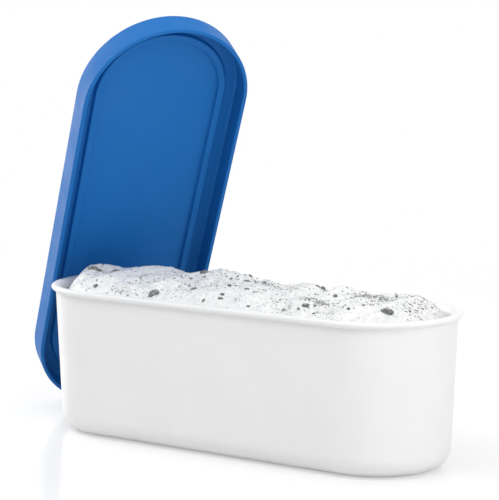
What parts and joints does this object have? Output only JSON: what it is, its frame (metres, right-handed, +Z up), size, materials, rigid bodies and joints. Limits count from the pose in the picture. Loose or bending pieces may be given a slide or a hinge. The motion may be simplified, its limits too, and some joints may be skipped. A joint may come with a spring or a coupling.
{
  "type": "ice cream tub",
  "caption": "Long white round-ended tub heaped with white ice cream speckled with dark biscuit, its blue flexible lid taken off and leaned against one end.",
  "frame": {"origin": "centre of the tub's underside, on the surface it stands on", "axes": "+Z up, +X along the tub, with the leaning lid over its -X end, +Y across the tub"},
  "size_m": [0.3058, 0.1386, 0.243],
  "materials": {
    "tub": "white satin moulded plastic",
    "ice_cream": "white ice cream with fine dark biscuit specks",
    "lid": "blue matt flexible plastic"
  },
  "bodies": {
    "root": {"tub": "tub", "ice_cream": "ice_cream", "lid": "lid"}
  },
  "joints": []
}
